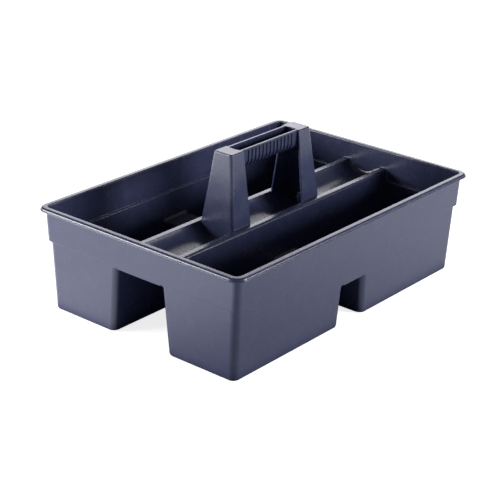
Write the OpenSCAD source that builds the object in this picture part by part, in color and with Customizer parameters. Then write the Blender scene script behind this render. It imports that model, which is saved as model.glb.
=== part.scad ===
// Carry caddy for cleaning supplies: a stepped, drafted tub with a central trough and a post handle.
// Frame: +Z up, +X along the long side, origin at the middle of the footprint on the resting plane.
// All sizes in millimetres.

/* [Tub] */
// Length over the rim
tub_l = 406; // [380:1:430]
// Width over the rim
tub_w = 277; // [262:1:296]
// Height from the feet to the top of the rim
tub_h = 117; // [114:0.5:124]
// Thickness of the moulded walls
wall = 2.5; // [2:0.1:3]
// Thickness of the bay floors
floor_t = 3; // [2.5:0.1:4]
// Draft of the outer walls, in mm of lean for each mm of height
draft = 0.037; // [0.02:0.001:0.045]
// How far the walls lie inside the edge of the rim
rim_over = 6; // [5:0.1:7]
// Depth of the rim's outer lip
rim_lip = 4; // [3:0.1:5]
// Radius of the cove under the lip
rim_cove = 4.5; // [3:0.1:4.8]
// Corner radius of the rim, outside
rim_r = 13.5; // [12:0.1:16]
// Height of the step round the outside of the walls
step_z = 78.6; // [76:0.1:80]
// How far the upper wall stands out beyond the lower wall
step_out = 2.4; // [1.5:0.1:2.5]
// Corner radius of the lower wall just under the step
low_r = 7.5; // [6.5:0.1:9]

/* [Tunnels] */
// Half width of the long tunnel at the resting plane
tunnel_foot = 37; // [34:0.5:39]
// Half width of the long tunnel at its ceiling
tunnel_head = 30.5; // [30:0.1:32]
// Height of the long tunnel's mouth in the end walls
tunnel_z = 75; // [70:0.5:75.5]
// Half width of the cross tunnel at the resting plane
cross_foot = 20; // [18:0.5:22]
// Half width of the cross tunnel at its ceiling
cross_head = 17.2; // [15:0.1:18]
// Height of the cross tunnel
cross_z = 47; // [40:0.5:55]

/* [Trough] */
// Height of the two ridges beside the trough
ridge_z = 95.3; // [94.5:0.1:97]
// Height of the trough's floor
trough_z = 81; // [80.5:0.1:82]
// Radius of the trough's round bottom
trough_r = 25.8; // [25:0.1:26.5]
// Rounding of the ridges' outer edges
ridge_round = 3; // [2:0.1:3.5]

/* [Handle] */
// Height of the top of the handle
handle_z = 175; // [170:0.5:182]
// Distance from the middle to a post's inner face, at the top
post_in = 46.2; // [44:0.1:50]
// Distance from the middle to a post's outer face, at the top
post_out = 66.6; // [64:0.1:69]
// Half width of a post at the top
post_half = 12.3; // [11.8:0.1:12.4]
// Lean of a post's inner face, in mm for each mm of height
lean_in = 0.024; // [0.01:0.001:0.03]
// Lean of a post's outer face, in mm for each mm of height
lean_out = 0.0975; // [0.08:0.0005:0.11]
// Lean of a post's side faces, in mm for each mm of height
lean_side = 0.131; // [0.12:0.001:0.132]
// Rounding of a post's upright edges
post_round = 2.5; // [1.5:0.1:3]
// Half width of the grip channel, outside
grip_half = 10; // [9.6:0.1:10.4]
// Height of the grip channel, outside
grip_h = 23; // [21:0.5:25]
// Thickness of the grip channel's wall
grip_wall = 2.6; // [2.4:0.1:3]
// Depth of the finger grooves
groove_d = 1.1; // [0.6:0.1:1.2]
// Spacing of the finger grooves
groove_pitch = 6.1; // [5.6:0.1:6.4]
// Width of a finger groove
groove_w = 3; // [2.4:0.1:3.4]

/* [Screws] */
// Diameter of the screw's thread
screw_d = 4; // [3.5:0.1:4.2]
// Length of the screw under its head
screw_l = 12; // [10:0.5:14]
// Diameter of the pan head
head_d = 8; // [7.2:0.1:8.4]
// Height of the pan head
head_h = 2.5; // [2:0.1:2.6]

/* [Hidden] */
$fn = 48;
eps = 0.01;
lap = 1;                                     // how far cutters run past what they cut
hl = tub_l / 2;
hw = tub_w / 2;
lip_z = tub_h - rim_lip;                     // underside of the lip
top_l = hl - rim_over;                       // outer wall at the lip, half length
top_w = hw - rim_over;
top_r = rim_r - rim_over;
band_in = draft * (lip_z - step_z);          // lean of the upper wall between step and lip
low_l = top_l - band_in - step_out;          // lower wall just under the step, half length
low_w = top_w - band_in - step_out;
foot_in = draft * step_z;                    // lean of the lower wall between floor and step
ledge_rise = 1.1;
ledge_z = step_z + wall + ledge_rise;        // ledge inside, where the cavity widens
foot_chamfer = 2;
rim_bury = 1;                                // how far the rim is drawn into the cavity before it is cut
rim_ease = 1;                                // bevel of the rim's inner edge
tunnel_lean = (tunnel_foot - tunnel_head) / tunnel_z;
cross_lean = (cross_foot - cross_head) / cross_z;
ridge_extra = 0.5;                           // the ridges' tops are this much thicker than the walls
ridge_wall = wall + ridge_extra;
hollow_z = ridge_z - ridge_wall;             // ceiling of the hollows inside the ridges
trough_axis = trough_z + trough_r;
trough_wall = 2.6;
pad_h = 0.8;
pad_z = trough_z - trough_wall - pad_h;      // seat of the screw heads
pad_d = 12;
pad_sink = 0.6;                              // the pads end this far under the trough's floor
screw_hole = screw_d + 0.6;
pilot_gap = 0.05;
seat_gap = 0.05;                             // clearance between the posts and the trough
post_sink = 3;                               // the posts are drawn this far under the trough, then cut
post_base = trough_z - post_sink;
cap_bevel = 0.8;
cap_t = 3;                                   // thickness of the cap that closes a post
void_r = 1;                                  // corner radius inside a post
mouth = 8;                                   // how far the space in a post is drawn past its inner face
boss_d = 8;
boss_bite = 0.7;                             // how far a boss is sunk into the post's outer wall
boss_roof = 1.4;                             // plastic left above the pilot hole
screw_x = post_out + lean_out * (handle_z - trough_z) - wall - boss_d / 2 + boss_bite;
pilot_z = pad_z + screw_l + lap;             // blind end of the pilot holes
scoop_r = 20;                                // plan radius of the channel's scooped ends
scoop_depth = 2;                             // how far the scoop runs into the cap
grooves = 13;
groove_drop = 2.2;                           // plain band above the grooves
tip_h = 3;

// Faces of a post at height z: towards the middle, outwards and to the sides.
function post_inner(z) = post_in - lean_in * (handle_z - z);
function post_outer(z) = post_out + lean_out * (handle_z - z);
function post_side(z) = post_half + lean_side * (handle_z - z);

// Rounded box whose walls lean outwards by one amount all round, so every corner is a true cone.
// a, b, r: half length, half width and corner radius at the bottom.
module leaning_box(a, b, r, lean, h) {
    cx = a - r;
    cy = b - r;
    rotate([90, 0, 0])
        linear_extrude(height = 2 * cy, center = true)
            polygon([[-a, 0], [a, 0], [a + lean, h], [-a - lean, h]]);
    rotate([90, 0, 90])
        linear_extrude(height = 2 * cx, center = true)
            polygon([[-b, 0], [b, 0], [b + lean, h], [-b - lean, h]]);
    for (sx = [-1, 1], sy = [-1, 1])
        translate([sx * cx, sy * cy, 0])
            cylinder(h = h, r1 = r, r2 = r + lean);
}

// Section of the rim: x outwards from the wall's outer face, y up from the lip's underside.
module rim_section() {
    edge = 1.9;
    under = 0.6;
    translate([-wall - rim_bury, 0]) square([wall + rim_bury + rim_over - edge, rim_lip]);
    translate([0, under]) square([rim_over, rim_lip - edge - under]);
    square([rim_over - under, rim_lip - edge]);
    translate([rim_over - under, under]) circle(r = under, $fn = 32);
    translate([rim_over - edge, rim_lip - edge]) circle(r = edge, $fn = 32);
    difference() {
        translate([-wall / 2, -rim_cove]) square([rim_cove + wall / 2, rim_cove + eps]);
        translate([rim_cove, -rim_cove]) circle(r = rim_cove, $fn = 64);
    }
}

module rim_ring() {
    cx = hl - rim_r;
    cy = hw - rim_r;
    for (s = [-1, 1]) {
        translate([0, s * top_w, lip_z])
            rotate([90, 0, s * 90])
                linear_extrude(height = 2 * cx, center = true) rim_section();
        translate([s * top_l, 0, lip_z])
            rotate([90, 0, s > 0 ? 0 : 180])
                linear_extrude(height = 2 * cy, center = true) rim_section();
    }
    for (k = [0:3])
        translate([(k == 0 || k == 3 ? 1 : -1) * cx, (k < 2 ? 1 : -1) * cy, lip_z])
            rotate([0, 0, 90 * k])
                rotate_extrude(angle = 90)
                    translate([top_r, 0]) rim_section();
}

// Outside of the moulding below the rim.
module tub_outside() {
    leaning_box(low_l - foot_in - foot_chamfer * draft, low_w - foot_in - foot_chamfer * draft,
                low_r - foot_in - foot_chamfer * draft, foot_in + foot_chamfer * draft, step_z + eps);
    translate([0, 0, step_z])
        leaning_box(top_l - band_in, top_w - band_in, top_r - band_in, band_in, lip_z - step_z);
}

// Space inside the walls: lower part to the ledge, then the wider upper part.
module tub_inside() {
    low_rise = draft * (ledge_z - floor_t);
    up_rise = draft * (lip_z - ledge_z);
    translate([0, 0, floor_t])
        leaning_box(low_l - wall - low_rise, low_w - wall - low_rise, low_r - wall - low_rise,
                    low_rise, ledge_z - floor_t + eps);
    translate([0, 0, ledge_z])
        leaning_box(top_l - wall - up_rise, top_w - wall - up_rise, top_r - wall - up_rise,
                    up_rise, lip_z - ledge_z);
    translate([0, 0, lip_z - eps])
        leaning_box(top_l - wall, top_w - wall, top_r - wall, 0, rim_lip + lap);
    translate([0, 0, tub_h - rim_ease])
        leaning_box(top_l - wall, top_w - wall, top_r - wall, rim_ease + lap, rim_ease + lap);
}

// Middle spine left standing in the tub: tunnel walls, ridges and the trough between them.
module spine() {
    foot = tunnel_foot + wall;
    head = foot - tunnel_lean * ridge_z;
    blend = 0.9;                             // keeps the rounding just inside the leaning walls
    difference() {
        rotate([90, 0, 90])
            linear_extrude(height = tub_l, center = true) {
                polygon([[-foot, 0], [foot, 0], [head + ridge_round * tunnel_lean, ridge_z - ridge_round],
                         [-head - ridge_round * tunnel_lean, ridge_z - ridge_round]]);
                translate([-head + ridge_round, 0]) square([2 * (head - ridge_round), ridge_z]);
                for (s = [-1, 1])
                    translate([s * (head - ridge_round), ridge_z - ridge_round])
                        circle(r = ridge_round + ridge_round * tunnel_lean * blend, $fn = 48);
            }
        trough_bore(0);
        translate([-hl - lap, -foot - lap, ridge_z])
            cube([tub_l + 2 * lap, 2 * (foot + lap), ridge_round]);
    }
}

// The trough's round bottom as a long cylinder, shrunk by the given clearance.
module trough_bore(gap) {
    translate([0, 0, trough_axis])
        rotate([0, 90, 0])
            cylinder(h = tub_l, r = trough_r - gap, center = true, $fn = 128);
}

// Cross humps left standing across the bays over the cross tunnel.
module humps() {
    foot = cross_foot + wall;
    top = cross_z + wall;
    head = foot - cross_lean * top;
    round_r = 2;
    rotate([90, 0, 0])
        linear_extrude(height = tub_w, center = true) {
            polygon([[-foot, 0], [foot, 0], [head + round_r * cross_lean, top - round_r],
                     [-head - round_r * cross_lean, top - round_r]]);
            translate([-head + round_r, 0]) square([2 * (head - round_r), top]);
            for (s = [-1, 1])
                translate([s * (head - round_r), top - round_r]) circle(r = round_r, $fn = 32);
        }
}

// Long tunnel under the spine, with the hollows inside the ridges.
module long_tunnel() {
    flare = foot_chamfer / 2;
    rotate([90, 0, 90])
        linear_extrude(height = tub_l + 2 * lap, center = true)
            polygon([[-tunnel_foot - flare - lap, -lap], [tunnel_foot + flare + lap, -lap],
                     [tunnel_foot, flare], [tunnel_head, tunnel_z],
                     [-tunnel_head, tunnel_z], [-tunnel_foot, flare]]);
    up = tunnel_head - tunnel_lean * (hollow_z - tunnel_z);
    difference() {
        rotate([90, 0, 90])
            linear_extrude(height = 2 * (low_l - wall - lap), center = true)
                polygon([[-tunnel_head, tunnel_z - eps], [tunnel_head, tunnel_z - eps],
                         [up, hollow_z], [-up, hollow_z]]);
        trough_bore(-trough_wall);
    }
}

module cross_tunnel() {
    flare = foot_chamfer / 2;
    rotate([90, 0, 0])
        linear_extrude(height = tub_w + 2 * lap, center = true)
            polygon([[-cross_foot - flare - lap, -lap], [cross_foot + flare + lap, -lap],
                     [cross_foot, flare], [cross_head, cross_z],
                     [-cross_head, cross_z], [-cross_foot, flare]]);
}

// Places its children at the two screws, on the trough's centre line.
module at_screws() {
    for (s = [-1, 1])
        translate([s * screw_x, 0, 0]) children();
}

module tub() {
    color([0.16, 0.19, 0.28])
    difference() {
        union() {
            difference() {
                union() {
                    tub_outside();
                    rim_ring();
                }
                difference() {
                    tub_inside();
                    spine();
                    humps();
                }
                long_tunnel();
                cross_tunnel();
            }
            at_screws()
                translate([0, 0, pad_z]) cylinder(h = trough_z - pad_z - pad_sink, d = pad_d);
        }
        at_screws()
            translate([0, 0, pad_z - lap]) cylinder(h = trough_z - pad_z + 4 * lap, d = screw_hole, $fn = 32);
    }
}

// Thin discs at the corners of a post's outline at height z. The inset draws the outline smaller, and
// reach moves its inner side towards the middle.
module post_corners(z, inset, r, reach) {
    y = post_side(z) - inset - r;
    for (s = [-1, 1]) {
        translate([post_inner(z) + inset - reach + r, s * y, z]) cylinder(h = eps, r = r, $fn = 32);
        translate([post_outer(z) - inset - r, s * y, z]) cylinder(h = eps, r = r, $fn = 32);
    }
}

// A post is a shell: a cap and three walls, open towards the middle and at the foot.
module post() {
    difference() {
        hull() {
            post_corners(post_base, 0, post_round, 0);
            post_corners(handle_z - cap_bevel - eps, 0, post_round, 0);
            post_corners(handle_z - eps, cap_bevel, post_round - cap_bevel, 0);
        }
        hull() {
            post_corners(post_base - lap, wall, void_r, mouth);
            post_corners(handle_z - cap_t, wall, void_r, mouth);
        }
    }
    translate([screw_x, 0, post_base])
        cylinder(h = pilot_z + boss_roof - post_base, d = boss_d);
}

// Section of the grip channel: y across, z up, drawn as x and y. The shrink makes the inner shape.
module grip_section(shrink, up) {
    half = grip_half - shrink;
    mid = handle_z - grip_h + grip_half;
    translate([-half, mid]) square([2 * half, handle_z - mid + up]);
    translate([0, mid]) circle(r = half, $fn = 64);
}

// The grip runs on inside the posts and closes its channel there.
module grip() {
    rotate([90, 0, 90])
        linear_extrude(height = 2 * (post_in + scoop_depth + grip_wall), center = true) grip_section(0, 0);
}

// Space inside the channel, with its ends scooped into the caps.
module channel() {
    cx = post_in + scoop_depth - scoop_r;
    intersection() {
        rotate([90, 0, 90])
            linear_extrude(height = 2 * (post_in + scoop_depth + lap), center = true) grip_section(grip_wall, lap);
        translate([0, 0, handle_z - grip_h]) {
            for (s = [-1, 1])
                translate([s * cx, 0, 0]) cylinder(h = grip_h + 2 * lap, r = scoop_r, $fn = 96);
            translate([-cx, -scoop_r / 2, 0]) cube([2 * cx, scoop_r, grip_h + 2 * lap]);
        }
    }
}

module finger_grooves() {
    for (i = [0:grooves - 1])
        translate([(i - (grooves - 1) / 2) * groove_pitch, 0, 0])
            rotate([90, 0, 90])
                linear_extrude(height = groove_w, center = true)
                    difference() {
                        translate([-grip_half - lap, handle_z - grip_h - lap])
                            square([2 * (grip_half + lap), grip_h - groove_drop + lap]);
                        grip_section(groove_d, lap);
                    }
}

module handle() {
    color([0.17, 0.2, 0.29])
    difference() {
        union() {
            intersection() {
                union() {
                    post();
                    mirror([1, 0, 0]) post();
                }
                union() {
                    trough_bore(seat_gap);
                    translate([-hl, -hw, ridge_z]) cube([tub_l, tub_w, handle_z]);
                }
            }
            grip();
        }
        channel();
        finger_grooves();
        at_screws()
            translate([0, 0, post_base - lap])
                cylinder(h = pilot_z - post_base + lap, d = screw_d + 2 * pilot_gap, $fn = 32);
    }
}

module screw() {
    slot_w = 1.1;
    slot_l = 4.4;
    slot_d = 1.3;
    head_gap = 0.02;                         // clearance between the head and its pad
    difference() {
        rotate_extrude()
            polygon([[0, -head_h], [head_d / 2 - 1.2, -head_h], [head_d / 2 - 0.3, -head_h + 0.7],
                     [head_d / 2, -head_h + 1.5], [head_d / 2, -head_gap], [screw_d / 2, -head_gap],
                     [screw_d / 2, screw_l - tip_h], [0.3, screw_l], [0, screw_l]]);
        for (a = [0, 90])
            rotate([0, 0, a])
                translate([-slot_l / 2, -slot_w / 2, -head_h - eps]) cube([slot_l, slot_w, slot_d]);
    }
}

module handle_screws() {
    color([0.72, 0.73, 0.75])
    at_screws()
        translate([0, 0, pad_z]) screw();
}

tub();
handle();
handle_screws();
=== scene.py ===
import math

import bmesh
import bpy
from mathutils import Matrix, Vector


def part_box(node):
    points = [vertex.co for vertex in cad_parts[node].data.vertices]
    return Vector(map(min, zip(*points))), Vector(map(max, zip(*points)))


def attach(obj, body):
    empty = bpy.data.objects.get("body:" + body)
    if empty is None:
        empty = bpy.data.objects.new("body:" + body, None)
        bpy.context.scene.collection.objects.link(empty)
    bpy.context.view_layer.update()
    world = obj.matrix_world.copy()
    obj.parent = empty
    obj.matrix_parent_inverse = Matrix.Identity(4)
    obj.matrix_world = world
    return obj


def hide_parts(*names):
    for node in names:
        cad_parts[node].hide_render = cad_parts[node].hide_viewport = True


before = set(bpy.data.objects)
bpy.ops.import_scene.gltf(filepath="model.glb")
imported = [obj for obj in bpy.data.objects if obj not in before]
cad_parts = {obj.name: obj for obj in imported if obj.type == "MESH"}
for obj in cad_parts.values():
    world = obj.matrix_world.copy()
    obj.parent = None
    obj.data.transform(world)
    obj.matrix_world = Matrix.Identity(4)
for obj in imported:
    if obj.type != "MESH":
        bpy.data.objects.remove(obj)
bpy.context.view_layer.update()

# Carry caddy for cleaning supplies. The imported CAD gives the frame; the tub and the handle are
# rebuilt here as filleted mouldings on the same main dimensions, in millimetres, and scaled to metres.

MM = 0.001

# ---------------------------------------------------------------- sizes, in mm

tub_low, tub_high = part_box("tub")
handle_low, handle_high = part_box("handle")
HALF_L = round(tub_high.x / MM, 2)            # over the rim
HALF_W = round(tub_high.y / MM, 2)
TUB_H = round(tub_high.z / MM, 2)
HANDLE_Z = round(handle_high.z / MM, 2)
screw_low, screw_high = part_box("handle_screws")
HEAD_D = 8.0
SCREW_X = round(screw_high.x / MM - HEAD_D / 2, 2)
SCREW_TIP = round(screw_high.z / MM, 2)

NEAR = 0.01                                   # small step in height beside an edge
CUT_OVER = 1.2                                # how far most swept sections run past their walls

WALL = 2.5
FLOOR = 3.0
DRAFT = 0.037
RIM_OVER = 6.0
RIM_LIP = 4.0
RIM_COVE = 4.5
RIM_R = 13.5
RIM_EDGE = 2.6                                # rounding of the rim's outer edge
RIM_SET = 0.8                                 # how far that edge lies behind the bead
BEAD_R = 0.85                                 # bead along the rim's lower edge
BEAD_END = 62                                 # degrees above level at which the bead stops
RIM_INNER = 1.5
TOP_OUT = 1.5                                 # the last ring of the rim's top lies this far outside the wall
INNER_SPREAD = 2.0                            # how far the cavity's cutter widens above the rim
INNER_RISE = 4.0                              # and how high it goes
LIP_Z = TUB_H - RIM_LIP
STEP_Z = 78.6
STEP_OUT = 2.4
STEP_EDGE = 0.9
STEP_ROOT = 0.6
LOW_R = 8.0
BAND_R = LOW_R - 0.3                          # corner radius of the wall's band just above the step
INNER_R = 5.0
LEDGE_Z = 82.2
LEDGE_EDGE = 1.4
FOOT_R = 3.0
BAY_R = 4.0
BAY_SHARE = 0.8                               # share of the floor fillet taken off the corner radius

TUNNEL_FOOT = 37.0
TUNNEL_HEAD = 30.5
TUNNEL_Z = 75.0
TUNNEL_LEAN = (TUNNEL_FOOT - TUNNEL_HEAD) / TUNNEL_Z
CROSS_FOOT = 20.0
CROSS_HEAD = 17.2
CROSS_Z = 47.0
CROSS_LEAN = (CROSS_FOOT - CROSS_HEAD) / CROSS_Z
MOUTH_R = 7.0                                 # rounding of the upright edges of the tunnel mouths
MOUTH_TOP_R = 0.9
TUNNEL_OVER = 0.6                             # how far the tunnels' cutters run past the walls
TUNNEL_R = 2.0                                # rounding of the tunnels' ceilings

RIDGE_Z = 95.3
RIDGE_R = 3.0
TROUGH_Z = 81.0
TROUGH_R = 25.8
TROUGH_AXIS = TROUGH_Z + TROUGH_R
TROUGH_EDGE = 0.7
TROUGH_WALL = 2.6
SPINE_SWEEP = 6.0                             # fillet between the spine and the end walls
RIDGE_SWEEP = 1.6                             # the same at the ridges' flat tops
SWEEP_DEPTH = 9.0                             # depth under the tops at which it has grown to full size
SPINE_BASE_R = 5.0
HUMP_R = 2.5
HUMP_BASE_R = 4.0
HUMP_SWEEP = 4.0
BASE_DROP = 1.5                               # how far a base fillet is drawn on under its floor
HOLLOW_Z = 92.3
HOLLOW_FOOT = 70.0                            # the hollow's cutter starts here, inside the tunnel
HOLLOW_GAP = 0.02                             # its sides lie this far inside the tunnel's
HOLLOW_R = 1.5

POST_IN = 46.2
POST_OUT = 66.6
POST_HALF = 12.3
LEAN_IN = 0.024
LEAN_OUT = 0.0975
LEAN_SIDE = 0.131
POST_R = 3.4                                  # upright edges of a post's outer wall
POST_LIP_R = 1.0                              # end edges of its side walls, outside and inside
POST_LIP_IN = 0.7
CAP_EDGE = 1.3
CAP_T = 3.0
VOID_R = 1.0
VOID_SINK = 8.0                               # how far the void is drawn under the trough's floor
BOSS_D = 8.0
BOSS_ROOF = 1.4
BOSS_LIFT = 0.45                              # foot of a boss above the trough's floor
BOSS_EDGE = 0.6
PILOT_RISE = 1.0                              # blind end of a pilot hole above the screw's tip
PILOT_GAP = 0.05
SEAT_GAP = 0.05
GRIP_HALF = 10.0
GRIP_H = 23.0
GRIP_WALL = 2.6
GRIP_SET = 0.08                               # how far the grip's lips lie under the caps
GROOVES = 13
GROOVE_PITCH = 6.1
GROOVE_D = 1.5
GROOVE_DROP = 2.2
GROOVE_HALF = 0.30                            # half a groove's width and its soft edge, in pitches
GROOVE_SOFT = 0.09
GROOVE_FADE = 1.2                             # height over which the grooves run out under the plain band
SCOOP_R = 20.0
SCOOP_DEPTH = 2.0
SCREW_D = 4.0
SCREW_HOLE = SCREW_D + 0.6
PAD_Z = 77.6
PAD_D = 12.0
PAD_EDGE = 0.5
PAD_SINK = 0.9                                # how far a pad ends under the trough's floor

CORNER_STEPS = 10
FILLET_STEPS = 6
WELD = 0.00001                                # metres within which a boolean's points are merged


# ---------------------------------------------------------------- mesh tools

def new_object(name, mesh):
    obj = bpy.data.objects.new(name, mesh)
    bpy.context.scene.collection.objects.link(obj)
    return obj


def loft(name, rings):
    """Closed solid through rings of equal length, capped at both ends; mm in, metres out."""
    count = len(rings[0])
    bm = bmesh.new()
    rows = [[bm.verts.new((x * MM, y * MM, z * MM)) for x, y, z in ring] for ring in rings]
    for low, high in zip(rows, rows[1:]):
        for k in range(count):
            n = (k + 1) % count
            bm.faces.new((low[k], low[n], high[n], high[k]))
    bm.faces.new(list(reversed(rows[0])))
    bm.faces.new(rows[-1])
    bmesh.ops.recalc_face_normals(bm, faces=bm.faces)
    mesh = bpy.data.meshes.new(name)
    bm.to_mesh(mesh)
    bm.free()
    return new_object(name, mesh)


def boolean(target, tool, operation):
    """Applies one exact boolean to target and deletes the tool."""
    mod = target.modifiers.new("cut", "BOOLEAN")
    mod.operation = operation
    mod.solver = "EXACT"
    mod.object = tool
    depsgraph = bpy.context.evaluated_depsgraph_get()
    made = bpy.data.meshes.new_from_object(target.evaluated_get(depsgraph))
    target.modifiers.clear()
    target.data = made
    bpy.data.objects.remove(tool, do_unlink=True)
    return target


def steps(start, end, count):
    return [start + (end - start) * k / count for k in range(count + 1)]


def rounded_path(points, n=FILLET_STEPS):
    """Open 2-D path whose corners (x, y, radius) are replaced by arcs."""
    path = []
    for i, (x, y, radius) in enumerate(points):
        if radius <= 0 or i in (0, len(points) - 1):
            path.append((x, y))
            continue
        here = Vector((x, y))
        back = (Vector(points[i - 1][:2]) - here).normalized()
        ahead = (Vector(points[i + 1][:2]) - here).normalized()
        half = math.acos(max(-1, min(1, back.dot(ahead)))) / 2
        reach = radius / math.tan(half)
        centre = here + (back + ahead).normalized() * radius / math.sin(half)
        a = here + back * reach - centre
        b = here + ahead * reach - centre
        turn = math.atan2(a.x * b.y - a.y * b.x, a.dot(b))
        for t in steps(0, turn, n):
            path.append((centre.x + a.x * math.cos(t) - a.y * math.sin(t),
                         centre.y + a.x * math.sin(t) + a.y * math.cos(t)))
    return path


def path_normals(path):
    """Left-hand unit normals of an open 2-D path."""
    out = []
    for i in range(len(path)):
        a = Vector(path[max(i - 1, 0)])
        b = Vector(path[i])
        c = Vector(path[min(i + 1, len(path) - 1)])
        total = Vector((0, 0))
        for p, q in ((a, b), (b, c)):
            if (q - p).length > 1e-9:
                d = (q - p).normalized()
                total += Vector((-d.y, d.x))
        out.append(total.normalized())
    return out


# Shares of a quarter-round fillet: (distance from the wall, spread), ending short of tangency.
SWEEP_TOP = 74
SWEEP = [(1 - math.sin(math.radians(a)), 1 - math.cos(math.radians(a)))
         for a in steps(0, SWEEP_TOP, 7)]
SWEEP_SLOPE = math.tan(math.radians(SWEEP_TOP))


def swept_loft(name, path, normals, radii, ends, along, over=CUT_OVER, limit=None):
    """Loft of a section between two walls, spreading along its normals in a fillet at each end.
    ends = (low, high): functions of z giving the walls; along = 0 for X, 1 for Y;
    limit: height that no point goes above."""
    def point(k, wall, sign, near, spread):
        u, z = path[k]
        u += normals[k].x * spread
        z += normals[k].y * spread
        if limit is not None:
            z = min(z, limit)
        s = wall(z) - sign * near
        return (s, u, z) if along == 0 else (u, s, z)

    def end_rings(wall, sign):
        rings = []
        for near, spread in SWEEP:
            rings.append([point(k, wall, sign, near * r, spread * r) for k, r in enumerate(radii)])
        last = []
        for k, r in enumerate(radii):
            extra = SWEEP[-1][0] * r + over
            last.append(point(k, wall, sign, -over, SWEEP[-1][1] * r + extra * SWEEP_SLOPE))
        rings.append(last)
        return rings

    low = list(reversed(end_rings(ends[0], -1)))
    return loft(name, low + end_rings(ends[1], 1))


# ---------------------------------------------------------------- tub

def outer_inset(z):
    """How far the outer wall lies inside the rim's edge at height z."""
    if z >= STEP_Z:
        return RIM_OVER + DRAFT * (LIP_Z - z)
    return RIM_OVER + DRAFT * (LIP_Z - z) + STEP_OUT


def inner_inset(z):
    if z >= LEDGE_Z:
        return RIM_OVER + WALL + DRAFT * (LIP_Z - z)
    return RIM_OVER + WALL + DRAFT * (LIP_Z - STEP_Z + LEDGE_Z - z) + STEP_OUT


def wall_ring(inset, radius, z):
    """Rounded rectangle, counter-clockwise from the +X +Y corner."""
    cx = HALF_L - inset - radius
    cy = HALF_W - inset - radius
    ring = []
    for sx, sy, start in ((1, 1, 0), (-1, 1, 90), (-1, -1, 180), (1, -1, 270)):
        for a in steps(start, start + 90, CORNER_STEPS):
            t = math.radians(a)
            ring.append((sx * cx + radius * math.cos(t), sy * cy + radius * math.sin(t), z))
    return ring


def quarter(n=FILLET_STEPS, end=90):
    return [(math.sin(math.radians(a)), math.cos(math.radians(a))) for a in steps(0, end, n)]


def outer_skin():
    rings = []
    for s, c in quarter():
        z = FOOT_R * (1 - c)
        extra = FOOT_R * (1 - s)
        rings.append(wall_ring(outer_inset(z) + extra, LOW_R - extra, z))
    under = outer_inset(STEP_Z - NEAR)
    over = outer_inset(STEP_Z)
    for s, c in quarter(4):
        rings.append(wall_ring(under - STEP_ROOT * (1 - c), LOW_R, STEP_Z - STEP_ROOT * (1 - s)))
    upper_r = RIM_R - RIM_OVER
    for s, c in quarter():
        z = STEP_Z + STEP_EDGE * (1 - c)
        rings.append(wall_ring(over + STEP_EDGE * (1 - s), BAND_R, z))
    for s, c in quarter(8):
        inset = outer_inset(LIP_Z - RIM_COVE) - RIM_COVE * (1 - c)
        rings.append(wall_ring(inset, upper_r + RIM_COVE * (1 - c), LIP_Z - RIM_COVE * (1 - s)))
    for a in steps(-90, BEAD_END, 9):
        inset = BEAD_R * (1 - math.cos(math.radians(a)))
        rings.append(wall_ring(inset, RIM_R - inset, LIP_Z + BEAD_R * (1 + math.sin(math.radians(a)))))
    for s, c in quarter(8):
        inset = RIM_SET + RIM_EDGE * (1 - c)
        rings.append(wall_ring(inset, RIM_R - inset, TUB_H - RIM_EDGE * (1 - s)))
    rings.append(wall_ring(RIM_OVER - TOP_OUT, RIM_R - RIM_OVER + TOP_OUT, TUB_H))
    return loft("outer_skin", rings)


def inner_space():
    rings = []
    for s, c in quarter():
        z = FLOOR + BAY_R * (1 - c)
        extra = BAY_R * (1 - s)
        rings.append(wall_ring(inner_inset(z) + extra, INNER_R - BAY_SHARE * extra, z))
    low = inner_inset(LEDGE_Z - NEAR)
    high = inner_inset(LEDGE_Z)
    for s, c in quarter():
        z = LEDGE_Z - LEDGE_EDGE * (1 - s)
        rings.append(wall_ring(low - LEDGE_EDGE * (1 - c), INNER_R, z))
    for s, c in quarter(4):
        z = LEDGE_Z + STEP_ROOT * (1 - c)
        rings.append(wall_ring(high + STEP_ROOT * (1 - s), INNER_R, z))
    base = inner_inset(TUB_H)
    for s, c in quarter(8, SWEEP_TOP):
        inset = base - RIM_INNER * (1 - c)
        rings.append(wall_ring(inset, INNER_R + RIM_INNER * (1 - c), TUB_H - RIM_INNER * (1 - s)))
    wide = inset - INNER_SPREAD
    corner = INNER_R + RIM_INNER + INNER_SPREAD
    rings.append(wall_ring(wide, corner, TUB_H - RIM_INNER * (1 - s) + INNER_SPREAD / SWEEP_SLOPE))
    rings.append(wall_ring(wide, corner, TUB_H + INNER_RISE))
    return loft("inner_space", rings)


def section_normals(path, level_below):
    """Outward normals of a symmetric section; points under level_below spread level."""
    normals = path_normals(path)
    if normals[1].x < 0:
        normals = [-n for n in normals]
    for k, (u, z) in enumerate(path):
        if z < level_below + NEAR or k in (0, len(path) - 1):
            normals[k] = Vector((1 if u > 0 else -1, 0))
    return normals


def spine_side(z):
    return TUNNEL_FOOT + WALL - TUNNEL_LEAN * z


def base_fillet(side, radius, floor):
    """Points of a side wall's fillet onto the floor, from below the floor upwards."""
    s, c = math.sin(math.radians(SWEEP_TOP)), math.cos(math.radians(SWEEP_TOP))
    rise = radius * (1 - s)
    spread = radius * (1 - c)
    points = [(side(floor) + (spread + (BASE_DROP + rise) * s / c), floor - BASE_DROP)]
    for a in steps(SWEEP_TOP, 0, FILLET_STEPS):
        t = math.radians(a)
        z = floor + radius * (1 - math.sin(t))
        points.append((side(z) + radius * (1 - math.cos(t)), z))
    return points


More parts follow.
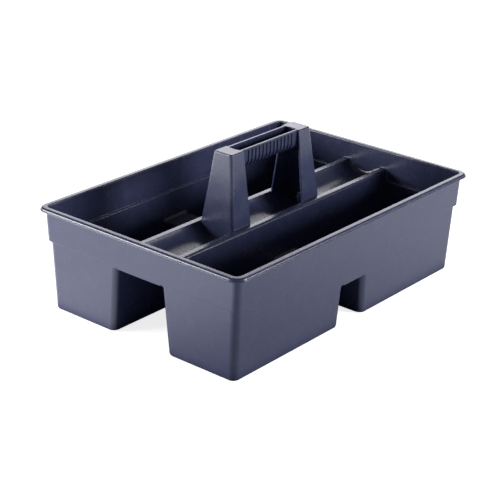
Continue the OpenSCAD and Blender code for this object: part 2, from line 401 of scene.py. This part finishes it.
def spine():
    """Ridges and trough in one section, swept up and out into the end walls."""
    edge = math.degrees(math.acos((TROUGH_AXIS - RIDGE_Z) / TROUGH_R))
    trough = []
    for a in steps(edge, 0, 18):
        t = math.radians(a)
        trough.append((TROUGH_R * math.sin(t), TROUGH_AXIS - TROUGH_R * math.cos(t)))
    points = [(u, z, 0) for u, z in base_fillet(spine_side, SPINE_BASE_R, FLOOR)]
    points += [(spine_side(RIDGE_Z), RIDGE_Z, RIDGE_R), (trough[0][0], trough[0][1], TROUGH_EDGE)]
    points += [(u, z, 0) for u, z in trough[1:]]
    half = rounded_path(points)[:-1]
    full = half + [(0.0, TROUGH_Z)] + [(-u, v) for u, v in reversed(half)]
    normals = section_normals(full, FLOOR + SPINE_BASE_R)
    radii = []
    for u, z in full:
        share = min(1.0, max(0.0, (RIDGE_Z - z) / SWEEP_DEPTH))
        radii.append(RIDGE_SWEEP + (SPINE_SWEEP - RIDGE_SWEEP) * share * share * (3 - 2 * share))

    def high(z):
        return HALF_L - inner_inset(z)

    return swept_loft("spine", full, normals, radii, (lambda z: -high(z), high), 0)


def hump(side):
    def slope(z):
        return CROSS_FOOT + WALL - CROSS_LEAN * z

    top = CROSS_Z + WALL
    points = [(u, z, 0) for u, z in base_fillet(slope, HUMP_BASE_R, FLOOR)]
    points += [(slope(top), top, HUMP_R), (0, top, 0)]
    half = rounded_path(points)[:-1]
    full = half + [(-u, v) for u, v in reversed(half)]
    normals = section_normals(full, FLOOR + HUMP_BASE_R)
    radii = [HUMP_SWEEP] * len(full)

    def at_wall(z):
        return HALF_W - inner_inset(z)

    ends = (spine_side, at_wall) if side > 0 else (lambda z: -at_wall(z), lambda z: -spine_side(z))
    return swept_loft("hump", full, normals, radii, ends, 1)


def tunnel_path(side, ceiling, corner):
    """Tunnel section with rounded foot edges, from right to left over the ceiling."""
    points = [(u, z, 0) for u, z in base_fillet(side, FOOT_R, 0.0)]
    points += [(side(ceiling), ceiling, corner), (0, ceiling, 0)]
    half = rounded_path(points)[:-1]
    full = half + [(-u, v) for u, v in reversed(half)]
    normals = section_normals(full, FOOT_R)
    radii = []
    for (u, z), n in zip(full, normals):
        share = min(1.0, max(0.0, abs(n.x))) ** 1.5
        radii.append(MOUTH_TOP_R + (MOUTH_R - MOUTH_TOP_R) * share)
    return full, normals, radii


def foot_extra(z):
    """How far the rounded bottom edge lies inside the wall at height z."""
    low = FOOT_R * (1 - math.sin(math.radians(SWEEP_TOP)))
    level = FOOT_R - max(z, low)
    if level <= 0:
        return 0.0
    inset = FOOT_R - math.sqrt(FOOT_R ** 2 - level ** 2)
    return inset + max(low - z, 0) * SWEEP_SLOPE


def tunnel_side(z):
    return TUNNEL_FOOT - TUNNEL_LEAN * z


def long_tunnel():
    full, normals, radii = tunnel_path(tunnel_side, TUNNEL_Z, TUNNEL_R)

    def mouth(z):
        return HALF_L - outer_inset(z) - foot_extra(z)

    return swept_loft("long_tunnel", full, normals, radii, (lambda z: -mouth(z), mouth), 0,
                      over=TUNNEL_OVER, limit=STEP_Z - STEP_ROOT)


def cross_tunnel(side):
    full, normals, radii = tunnel_path(lambda z: CROSS_FOOT - CROSS_LEAN * z, CROSS_Z, TUNNEL_R)

    def mouth(z):
        return HALF_W - outer_inset(z) - foot_extra(z)

    def inner(z):
        return tunnel_side(z) + foot_extra(z)

    ends = (inner, mouth) if side > 0 else (lambda z: -mouth(z), lambda z: -inner(z))
    return swept_loft("cross_tunnel", full, normals, radii, ends, 1, over=TUNNEL_OVER)


def spine_hollow():
    """Hollow inside the ridges, under the trough."""
    under = TROUGH_R + TROUGH_WALL
    edge = math.degrees(math.acos((TROUGH_AXIS - HOLLOW_Z) / under))
    points = [(tunnel_side(HOLLOW_FOOT) - HOLLOW_GAP, HOLLOW_FOOT, 0),
              (tunnel_side(HOLLOW_Z) - HOLLOW_GAP, HOLLOW_Z, HOLLOW_R)]
    for a in steps(edge, 0, 16):
        t = math.radians(a)
        points.append((under * math.sin(t), TROUGH_AXIS - under * math.cos(t), 0))
    half = rounded_path(points)[:-1]
    full = half + [(0, TROUGH_Z - TROUGH_WALL)] + [(-u, v) for u, v in reversed(half)]
    reach = HALF_L - inner_inset(TUNNEL_Z) - 1
    return loft("spine_hollow", [[(x, u, z) for u, z in full] for x in (-reach, reach)])


def turned(name, x, profile, n=32):
    """Upright solid of revolution round (x, 0) from (radius, z) points."""
    rings = []
    for r, z in profile:
        rings.append([(x + r * math.cos(t), r * math.sin(t), z)
                      for t in (2 * math.pi * k / n for k in range(n))])
    return loft(name, rings)


def build_tub():
    cavity = inner_space()
    boolean(cavity, spine(), "DIFFERENCE")
    for side in (-1, 1):
        boolean(cavity, hump(side), "DIFFERENCE")
    tub = outer_skin()
    boolean(tub, cavity, "DIFFERENCE")
    boolean(tub, long_tunnel(), "DIFFERENCE")
    boolean(tub, spine_hollow(), "DIFFERENCE")
    for side in (-1, 1):
        boolean(tub, cross_tunnel(side), "DIFFERENCE")
    for x in (-SCREW_X, SCREW_X):
        radius = PAD_D / 2
        pad = [(radius - PAD_EDGE, PAD_Z), (radius, PAD_Z + PAD_EDGE), (radius, TROUGH_Z - PAD_SINK)]
        boolean(tub, turned("pad", x, pad), "UNION")
        hole = [(SCREW_HOLE / 2, PAD_Z - 3), (SCREW_HOLE / 2, TROUGH_Z + 3)]
        boolean(tub, turned("hole", x, hole, 24), "DIFFERENCE")
    tub.name = "tub_moulding"
    return tub


# ---------------------------------------------------------------- handle

def post_ring(side, top, inset, drop_share):
    """Rounded outline of a post on its leaning faces; drop_share 0 is the top, 1 the trough's arc."""
    places = []                               # (inner side, y share of the flat, radius, arc x, arc y)
    for inner, sy, start in ((False, 1, 0), (True, 1, 90), (True, -1, 180), (False, -1, 270)):
        radius = max((POST_LIP_R if inner else POST_R) - inset, 0.3)
        for a in steps(start, start + 90, FILLET_STEPS):
            t = math.radians(a)
            places.append((inner, sy, radius, radius * math.cos(t), radius * math.sin(t)))
        if start in (90, 270):
            for share in steps(sy, -sy, 18)[1:-1]:
                places.append((inner, share, radius, radius * (-1 if inner else 1), 0.0))
    ring = []
    for inner, sy, radius, dx, dy in places:
        z = top
        for _ in range(40):
            drop = HANDLE_Z - z
            x = (POST_IN - LEAN_IN * drop + inset + radius if inner
                 else POST_OUT + LEAN_OUT * drop - inset - radius) + dx
            y = sy * (POST_HALF + LEAN_SIDE * drop - inset - radius) + dy
            arc = TROUGH_AXIS - math.sqrt((TROUGH_R - SEAT_GAP) ** 2 - min(abs(y), TROUGH_R - 0.2) ** 2)
            z = top - (top - arc) * drop_share
        ring.append((side * x, y, z))
    return ring if side > 0 else list(reversed(ring))


def post(side):
    rings = []
    for s, c in quarter(5):
        rings.append(post_ring(side, HANDLE_Z - CAP_EDGE * (1 - s), CAP_EDGE * (1 - c), 0))
    rings.reverse()
    rings.append(post_ring(side, HANDLE_Z - CAP_EDGE, 0, 0.5))
    rings.append(post_ring(side, HANDLE_Z - CAP_EDGE, 0, 0.994))
    rings.append(post_ring(side, HANDLE_Z - CAP_EDGE, 0.35, 1))
    return loft("post", rings)


def void_ring(side, z, extra):
    """Outline at height z of the space in a post, flared round the end edges of the side walls."""
    drop = HANDLE_Z - z
    inner = POST_IN - LEAN_IN * drop
    outer = POST_OUT + LEAN_OUT * drop - WALL - extra - VOID_R
    half = POST_HALF + LEAN_SIDE * drop - WALL - extra
    quarter_ring = []
    for s, c in quarter():
        quarter_ring.append((outer + VOID_R * c, half - VOID_R + VOID_R * s))
    for s, c in quarter(FILLET_STEPS, SWEEP_TOP):
        quarter_ring.append((inner + POST_LIP_IN * (1 - s), half + POST_LIP_IN * (1 - c)))
    x, y = quarter_ring[-1]
    quarter_ring.append((x - CUT_OVER, y + CUT_OVER * SWEEP_SLOPE))
    ring = quarter_ring + [(x, -y) for x, y in reversed(quarter_ring)]
    ring = [(side * x, y, z) for x, y in ring]
    return ring if side > 0 else list(reversed(ring))


def post_void(side):
    """Space in a post under its cap, open towards the middle and at the foot."""
    roof = HANDLE_Z - CAP_T
    rings = [void_ring(side, TROUGH_Z - VOID_SINK, 0)]
    for s, c in reversed(quarter(4)):
        rings.append(void_ring(side, roof - VOID_R * (1 - c), VOID_R * (1 - s)))
    return loft("post_void", rings)


def grip_path():
    """Outside of the grip's U section, from the right lip round the bottom to the left lip."""
    mid = HANDLE_Z - GRIP_H + GRIP_HALF
    top = HANDLE_Z - GRIP_SET
    edge = 0.5
    half = [(GRIP_HALF - edge * (1 - s), top - edge * (1 - c)) for s, c in quarter(4)]
    for z in steps(top - edge - 0.4, top - GROOVE_DROP - 2.2, 6):
        half.append((GRIP_HALF, z))
    for z in steps(top - GROOVE_DROP - 4, mid, 2):
        half.append((GRIP_HALF, z))
    for a in steps(6, 90, 14):
        t = math.radians(a)
        half.append((GRIP_HALF * math.cos(t), mid - GRIP_HALF * math.sin(t)))
    return half + [(-u, v) for u, v in reversed(half[:-1])]


def groove_depth(x, z):
    """Depth of the finger grooves at a place on the grip: round ribs, fading out under the plain band."""
    run = GROOVES * GROOVE_PITCH / 2
    if abs(x) >= run:
        return 0.0
    phase = (x / GROOVE_PITCH) % 1.0
    phase = min(phase, 1 - phase)             # 0 in the middle of a groove, 0.5 on a rib
    share = min(1.0, max(0.0, (GROOVE_HALF - phase) / GROOVE_SOFT))
    share = share * share * (3 - 2 * share)
    band = HANDLE_Z - GROOVE_DROP
    fade = min(1.0, max(0.0, (band - z) / GROOVE_FADE))
    return GROOVE_D * share * fade * fade * (3 - 2 * fade)


def grip():
    path = grip_path()
    normals = path_normals(path)
    if normals[len(path) // 2].y > 0:
        normals = [-n for n in normals]
    end = POST_IN + SCOOP_DEPTH + GRIP_WALL
    run = GROOVES * GROOVE_PITCH / 2
    rings = []
    for x in [-end] + steps(-run, run, GROOVES * 18) + [end]:
        ring = []
        for (u, z), n in zip(path, normals):
            d = -groove_depth(x, z)
            ring.append((x, u + n.x * d, z + n.y * d))
        rings.append(ring)
    return loft("grip", rings)


def channel():
    """Space inside the grip, open at the top, with scooped ends running into the caps."""
    mid = HANDLE_Z - GRIP_H + GRIP_HALF
    half = GRIP_HALF - GRIP_WALL
    centre = POST_IN + SCOOP_DEPTH - SCOOP_R
    rings = []
    levels = [(half * math.sin(math.radians(a)), mid - half * math.cos(math.radians(a)), 0.0)
              for a in steps(8, 90, 10)]
    edge = 0.5
    levels.append((half, HANDLE_Z - 3 * edge, 0.0))
    for s, c in quarter(6, SWEEP_TOP):
        levels.append((half, HANDLE_Z - edge * (1 - s), 1 - c))
    levels.append((half, HANDLE_Z + 1.0, 1 - c + 1.2 / edge * 0.8))
    for w, z, spread in levels:
        side = w + spread * edge
        ring = []
        for sign in (1, -1):
            for v in steps(-1, 1, 14):
                y = sign * v * side
                x = centre + math.sqrt(SCOOP_R ** 2 - (v * w) ** 2) + spread * edge * 2.2
                ring.append((sign * x, y, z))
        rings.append(ring)
    return loft("channel", rings)


def build_handle():
    handle = grip()
    radius = BOSS_D / 2
    boss_top = SCREW_TIP + PILOT_RISE + BOSS_ROOF
    boss = [(radius, TROUGH_Z + BOSS_LIFT), (radius, boss_top - BOSS_EDGE), (radius - BOSS_EDGE, boss_top)]
    for side in (-1, 1):
        shell = post(side)
        boolean(shell, post_void(side), "DIFFERENCE")
        boolean(shell, turned("boss", side * SCREW_X, boss), "UNION")
        boolean(handle, shell, "UNION")
    boolean(handle, channel(), "DIFFERENCE")
    bore = SCREW_D / 2 + PILOT_GAP
    pilot = [(bore, PAD_Z - 2), (bore, SCREW_TIP + PILOT_RISE)]
    for x in (-SCREW_X, SCREW_X):
        boolean(handle, turned("pilot", x, pilot, 24), "DIFFERENCE")
    handle.name = "carry_handle"
    return handle


# ---------------------------------------------------------------- finishing a mesh

def finish_mesh(obj, angle=32):
    """Cleans a boolean's result, marks hard edges and gives the faces weighted normals."""
    bm = bmesh.new()
    bm.from_mesh(obj.data)
    bmesh.ops.remove_doubles(bm, verts=bm.verts, dist=WELD)
    bmesh.ops.dissolve_degenerate(bm, edges=bm.edges, dist=WELD)
    bmesh.ops.recalc_face_normals(bm, faces=bm.faces)
    limit = math.radians(angle)
    for face in bm.faces:
        face.smooth = True
    for edge in bm.edges:
        edge.smooth = len(edge.link_faces) == 2 and edge.calc_face_angle(0) < limit
    bm.to_mesh(obj.data)
    bm.free()
    mod = obj.modifiers.new("weighted_normals", "WEIGHTED_NORMAL")
    mod.keep_sharp = True
    mod.weight = 80


# ---------------------------------------------------------------- materials

class Nodes:
    """Small helper that adds and links shader nodes."""

    def __init__(self, name):
        self.material = bpy.data.materials.new(name)
        self.material.use_nodes = True
        self.tree = self.material.node_tree
        self.tree.nodes.clear()

    def add(self, kind, **values):
        node = self.tree.nodes.new(kind)
        for key, value in values.items():
            setattr(node, key, value)
        return node

    def link(self, source, target):
        self.tree.links.new(source, target)

    def noise(self, coords, scale, detail=3.0, roughness=0.5, stretch=None):
        node = self.add("ShaderNodeTexNoise")
        node.inputs["Scale"].default_value = scale
        node.inputs["Detail"].default_value = detail
        node.inputs["Roughness"].default_value = roughness
        if stretch:
            mapping = self.add("ShaderNodeMapping")
            mapping.inputs["Scale"].default_value = stretch
            mapping.inputs["Rotation"].default_value = (0.3, 0.2, 0.5)
            self.link(coords, mapping.inputs["Vector"])
            coords = mapping.outputs["Vector"]
        self.link(coords, node.inputs["Vector"])
        return node.outputs["Fac"]

    def remap(self, value, low, high, to_low=0.0, to_high=1.0):
        node = self.add("ShaderNodeMapRange")
        node.interpolation_type = "SMOOTHSTEP"
        node.inputs["From Min"].default_value = low
        node.inputs["From Max"].default_value = high
        node.inputs["To Min"].default_value = to_low
        node.inputs["To Max"].default_value = to_high
        self.link(value, node.inputs["Value"])
        return node.outputs["Result"]

    def math(self, operation, a, b):
        node = self.add("ShaderNodeMath", operation=operation)
        for socket, value in zip(node.inputs, (a, b)):
            if isinstance(value, (int, float)):
                socket.default_value = value
            else:
                self.link(value, socket)
        return node.outputs["Value"]

    def mix(self, share, a, b):
        node = self.add("ShaderNodeMix", data_type="RGBA")
        self.link(share, node.inputs["Factor"])
        for name, value in (("A", a), ("B", b)):
            socket = [s for s in node.inputs if s.name == name and s.type == "RGBA"][0]
            if isinstance(value, tuple):
                socket.default_value = value
            else:
                self.link(value, socket)
        return [s for s in node.outputs if s.type == "RGBA"][0]

    def bump(self, height, strength, distance, normal=None):
        node = self.add("ShaderNodeBump")
        node.inputs["Strength"].default_value = strength
        node.inputs["Distance"].default_value = distance
        self.link(height, node.inputs["Height"])
        if normal is not None:
            self.link(normal, node.inputs["Normal"])
        return node.outputs["Normal"]

    def edge_mask(self, radius):
        """1 on edges and 0 on flats, from the angle between the bevelled and the true normal."""
        bevel = self.add("ShaderNodeBevel", samples=6)
        bevel.inputs["Radius"].default_value = radius
        geometry = self.add("ShaderNodeNewGeometry")
        dot = self.add("ShaderNodeVectorMath", operation="DOT_PRODUCT")
        self.link(bevel.outputs["Normal"], dot.inputs[0])
        self.link(geometry.outputs["Normal"], dot.inputs[1])
        return self.remap(dot.outputs["Value"], 0.99, 0.90), bevel.outputs["Normal"]


def plastic(name, base, light, roughness, grain, edge):
    """Moulded polypropylene: fine mould grain, slow colour drift, scuffs and lighter worn edges."""
    n = Nodes(name)
    coords = n.add("ShaderNodeTexCoord").outputs["Object"]
    drift = n.noise(coords, 9.0, 2.0)
    mottle = n.noise(coords, 70.0, 4.0, 0.6)
    colour = n.mix(n.remap(drift, 0.3, 0.7), tuple(c * 0.95 for c in base[:3]) + (1,), base)
    colour = n.mix(n.remap(mottle, 0.35, 0.75, 0.0, 0.05), colour, light)
    edges, soft = n.edge_mask(edge)
    worn = n.math("MULTIPLY", edges, n.remap(n.noise(coords, 110.0, 3.0), 0.4, 0.7, 0.10, 0.30))
    colour = n.mix(worn, colour, light)
    scuff_a = n.remap(n.noise(coords, 40.0, 6.0, 0.7, (1, 14, 6)), 0.66, 0.74)
    scuff_b = n.remap(n.noise(coords, 55.0, 6.0, 0.7, (12, 1, 9)), 0.67, 0.75)
    scuffs = n.math("MULTIPLY", n.math("MAXIMUM", scuff_a, scuff_b), 0.05)
    colour = n.mix(n.math("MULTIPLY", scuffs, 0.4), colour, light)
    rough = n.math("ADD", n.remap(mottle, 0.25, 0.75, roughness - 0.02, roughness + 0.03),
                   n.math("MULTIPLY", n.math("ADD", scuffs, worn), 0.30))
    shader = n.add("ShaderNodeBsdfPrincipled")
    n.link(colour, shader.inputs["Base Color"])
    n.link(rough, shader.inputs["Roughness"])
    shader.inputs["IOR"].default_value = 1.49
    slow = n.bump(n.noise(coords, 9.0, 1.0), 0.10, 0.0004, soft)
    fine = n.bump(n.noise(coords, 2600.0, 2.0), grain, 0.00002, slow)
    n.link(fine, shader.inputs["Normal"])
    out = n.add("ShaderNodeOutputMaterial")
    n.link(shader.outputs["BSDF"], out.inputs["Surface"])
    return n.material


def steel(name):
    """Zinc-plated steel with a faint brushed grain and dull patches."""
    n = Nodes(name)
    coords = n.add("ShaderNodeTexCoord").outputs["Object"]
    patches = n.noise(coords, 600.0, 4.0)
    colour = n.mix(n.remap(patches, 0.3, 0.7), (0.56, 0.57, 0.58, 1), (0.70, 0.70, 0.69, 1))
    shader = n.add("ShaderNodeBsdfPrincipled")
    shader.inputs["Metallic"].default_value = 1.0
    n.link(colour, shader.inputs["Base Color"])
    n.link(n.remap(patches, 0.3, 0.7, 0.24, 0.42), shader.inputs["Roughness"])
    brushed = n.bump(n.noise(coords, 1500.0, 2.0, 0.5, (1, 8, 1)), 0.3, 0.00003)
    n.link(brushed, shader.inputs["Normal"])
    out = n.add("ShaderNodeOutputMaterial")
    n.link(shader.outputs["BSDF"], out.inputs["Surface"])
    return n.material


TUB_BLUE = (0.024, 0.029, 0.070, 1)
HANDLE_BLUE = (0.024, 0.030, 0.073, 1)
WORN_BLUE = (0.10, 0.11, 0.17, 1)
SHEEN = 0.26
GRAIN = 0.22
tub_plastic = plastic("tub_plastic", TUB_BLUE, WORN_BLUE, SHEEN, GRAIN, edge=0.0006)
handle_plastic = plastic("handle_plastic", HANDLE_BLUE, WORN_BLUE, SHEEN, GRAIN, edge=0.0003)
screw_steel = steel("screw_steel")


# ---------------------------------------------------------------- the object

def dress(obj, material, node):
    finish_mesh(obj)
    obj.data.materials.clear()
    obj.data.materials.append(material)
    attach(obj, "root")
    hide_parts(node)


tub = build_tub()
dress(tub, tub_plastic, "tub")
handle = build_handle()
dress(handle, handle_plastic, "handle")
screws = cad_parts["handle_screws"]
for k in range(len(screws.material_slots)):
    screws.material_slots[k].material = screw_steel


# ---------------------------------------------------------------- stage, light and camera

BEARING = math.radians(-50.99)                # camera's bearing, height and roll
RISE = math.radians(23.37)
ROLL = math.radians(1.72)
CAMERA_AT = (-1.18275, -0.94472, 0.69827)
LENS = 107.79
AIM = (0, 0, 0.08)                            # where the lights point
FLOOR_GAP = 0.0005                            # how far the paper lies under the feet
FLOOR_SIZE = 6.0
FLOOR_LIFT = 0.80
FLOOR_DARK = 0.50
FLOOR_LEFT = (-0.02, -0.26, 0.0, 1.75)         # from, to across the view, and the glow at each
FLOOR_RIGHT = (0.0, 0.40, 0.0, 0.70)
SKY_LOW = 0.90
SKY_HIGH = 0.22
SKY_TOP = 0.45                                # height, as a direction's z, at which the glow has faded
SKY_FRONT = 0.40                              # share of the glow left on the camera's side
BACK_POWER = 16
TOP_POWER = 7
KEY_POWER = 76
FILL_POWER = 58
PANEL_TINT = (0.94, 0.93, 1.0)


def floor_sheet(across):
    """Pale paper floor. The camera sees it plain. Every other ray sees a glow instead, which grows to
    both sides of the view, most on the left, and is cut dark under the object as a painted shadow."""
    n = Nodes("floor_paper")
    coords = n.add("ShaderNodeTexCoord").outputs["Object"]
    tone = n.mix(n.remap(n.noise(coords, 3.0), 0.3, 0.7), (0.86, 0.86, 0.86, 1), (0.88, 0.88, 0.88, 1))
    shader = n.add("ShaderNodeBsdfPrincipled")
    n.link(tone, shader.inputs["Base Color"])
    shader.inputs["Roughness"].default_value = 0.9
    shader.inputs["Specular IOR Level"].default_value = 0.1
    shader.inputs["Emission Color"].default_value = (1, 1, 1, 1)
    shader.inputs["Emission Strength"].default_value = FLOOR_LIFT
    side = n.add("ShaderNodeVectorMath", operation="DOT_PRODUCT")
    n.link(coords, side.inputs[0])
    side.inputs[1].default_value = across
    place = side.outputs["Value"]
    left = n.remap(place, *FLOOR_LEFT)
    right = n.remap(place, *FLOOR_RIGHT)
    level = n.math("ADD", n.math("ADD", left, right), FLOOR_DARK)
    split = n.add("ShaderNodeSeparateXYZ")
    n.link(coords, split.inputs["Vector"])
    # The glow fades to nothing under the object's footprint: a painted shadow on the floor.
    clear = []
    for axis, half in (("X", HALF_L), ("Y", HALF_W)):
        reach = n.math("ABSOLUTE", split.outputs[axis], 0.0)
        clear.append(n.remap(reach, half * MM - 0.02, half * MM + 0.005))
    level = n.math("MULTIPLY", level, n.math("MAXIMUM", clear[0], clear[1]))
    glow = n.add("ShaderNodeEmission")
    n.link(level, glow.inputs["Strength"])
    path = n.add("ShaderNodeLightPath")
    pick = n.add("ShaderNodeMixShader")
    n.link(path.outputs["Is Camera Ray"], pick.inputs["Fac"])
    n.link(glow.outputs["Emission"], pick.inputs[1])
    n.link(shader.outputs["BSDF"], pick.inputs[2])
    out = n.add("ShaderNodeOutputMaterial")
    n.link(pick.outputs["Shader"], out.inputs["Surface"])
    bm = bmesh.new()
    bmesh.ops.create_grid(bm, x_segments=8, y_segments=8, size=FLOOR_SIZE)
    mesh = bpy.data.meshes.new("floor")
    bm.to_mesh(mesh)
    bm.free()
    mesh.materials.append(n.material)
    obj = new_object("floor", mesh)
    obj.location.z = -FLOOR_GAP


def soft_box(name, location, width, height, power, colour=(1, 1, 1)):
    data = bpy.data.lights.new(name, "AREA")
    data.shape = "RECTANGLE"
    data.size = width
    data.size_y = height
    data.energy = power
    data.color = colour
    obj = bpy.data.objects.new(name, data)
    bpy.context.scene.collection.objects.link(obj)
    obj.location = location
    obj.rotation_mode = "QUATERNION"
    obj.rotation_quaternion = (Vector(AIM) - Vector(location)).to_track_quat("-Z", "Y")


def studio():
    """Backdrop glow that fades with height and on the camera's side, the floor and four soft boxes."""
    world = bpy.data.worlds.new("studio")
    bpy.context.scene.world = world
    world.use_nodes = True
    tree = world.node_tree
    tree.nodes.clear()
    coords = tree.nodes.new("ShaderNodeTexCoord")
    split = tree.nodes.new("ShaderNodeSeparateXYZ")
    ramp = tree.nodes.new("ShaderNodeMapRange")
    ramp.inputs["From Min"].default_value = 0.0
    ramp.inputs["From Max"].default_value = SKY_TOP
    ramp.inputs["To Min"].default_value = SKY_LOW
    ramp.inputs["To Max"].default_value = SKY_HIGH
    facing = tree.nodes.new("ShaderNodeVectorMath")
    facing.operation = "DOT_PRODUCT"
    facing.inputs[1].default_value = (math.sin(BEARING), -math.cos(BEARING), 0)
    front = tree.nodes.new("ShaderNodeMapRange")
    front.interpolation_type = "SMOOTHSTEP"
    front.inputs["From Min"].default_value = 0.1
    front.inputs["From Max"].default_value = 0.8
    front.inputs["To Min"].default_value = 1.0
    front.inputs["To Max"].default_value = SKY_FRONT
    product = tree.nodes.new("ShaderNodeMath")
    product.operation = "MULTIPLY"
    background = tree.nodes.new("ShaderNodeBackground")
    out = tree.nodes.new("ShaderNodeOutputWorld")
    tree.links.new(coords.outputs["Generated"], split.inputs["Vector"])
    tree.links.new(split.outputs["Z"], ramp.inputs["Value"])
    tree.links.new(coords.outputs["Generated"], facing.inputs[0])
    tree.links.new(facing.outputs["Value"], front.inputs["Value"])
    tree.links.new(ramp.outputs["Result"], product.inputs[0])
    tree.links.new(front.outputs["Result"], product.inputs[1])
    tree.links.new(product.outputs["Value"], background.inputs["Strength"])
    tree.links.new(background.outputs["Background"], out.inputs["Surface"])
    floor_sheet((math.cos(BEARING), math.sin(BEARING), 0))
    soft_box("back_panel", (1.80, 1.62, 0.92), 1.9, 0.75, BACK_POWER, PANEL_TINT)
    soft_box("top_panel", (1.61, 1.0, 1.65), 1.3, 0.8, TOP_POWER, PANEL_TINT)
    soft_box("left_key", (-1.60, 1.58, 0.46), 1.25, 0.90, KEY_POWER)
    soft_box("right_fill", (0.95, -1.95, 0.62), 0.9, 0.75, FILL_POWER)


def photo_camera():
    """Camera at the object's three-quarter view: bearing, height and a small roll, no lens shift."""
    level = math.cos(RISE)
    back = Vector((math.sin(BEARING) * level, -math.cos(BEARING) * level, math.sin(RISE)))
    right = Vector((0, 0, 1)).cross(back).normalized()
    up = back.cross(right)
    across = right * math.cos(ROLL) + up * math.sin(ROLL)
    upward = up * math.cos(ROLL) - right * math.sin(ROLL)
    data = bpy.data.cameras.new("camera")
    data.sensor_width = 36
    data.lens = LENS
    data.clip_start = 0.05
    data.clip_end = 30
    obj = bpy.data.objects.new("camera", data)
    bpy.context.scene.collection.objects.link(obj)
    pose = Matrix((across, upward, back)).transposed().to_4x4()
    pose.translation = Vector(CAMERA_AT)
    obj.matrix_world = pose
    bpy.context.scene.camera = obj


studio()
photo_camera()
bpy.context.scene.view_settings.view_transform = "Standard"
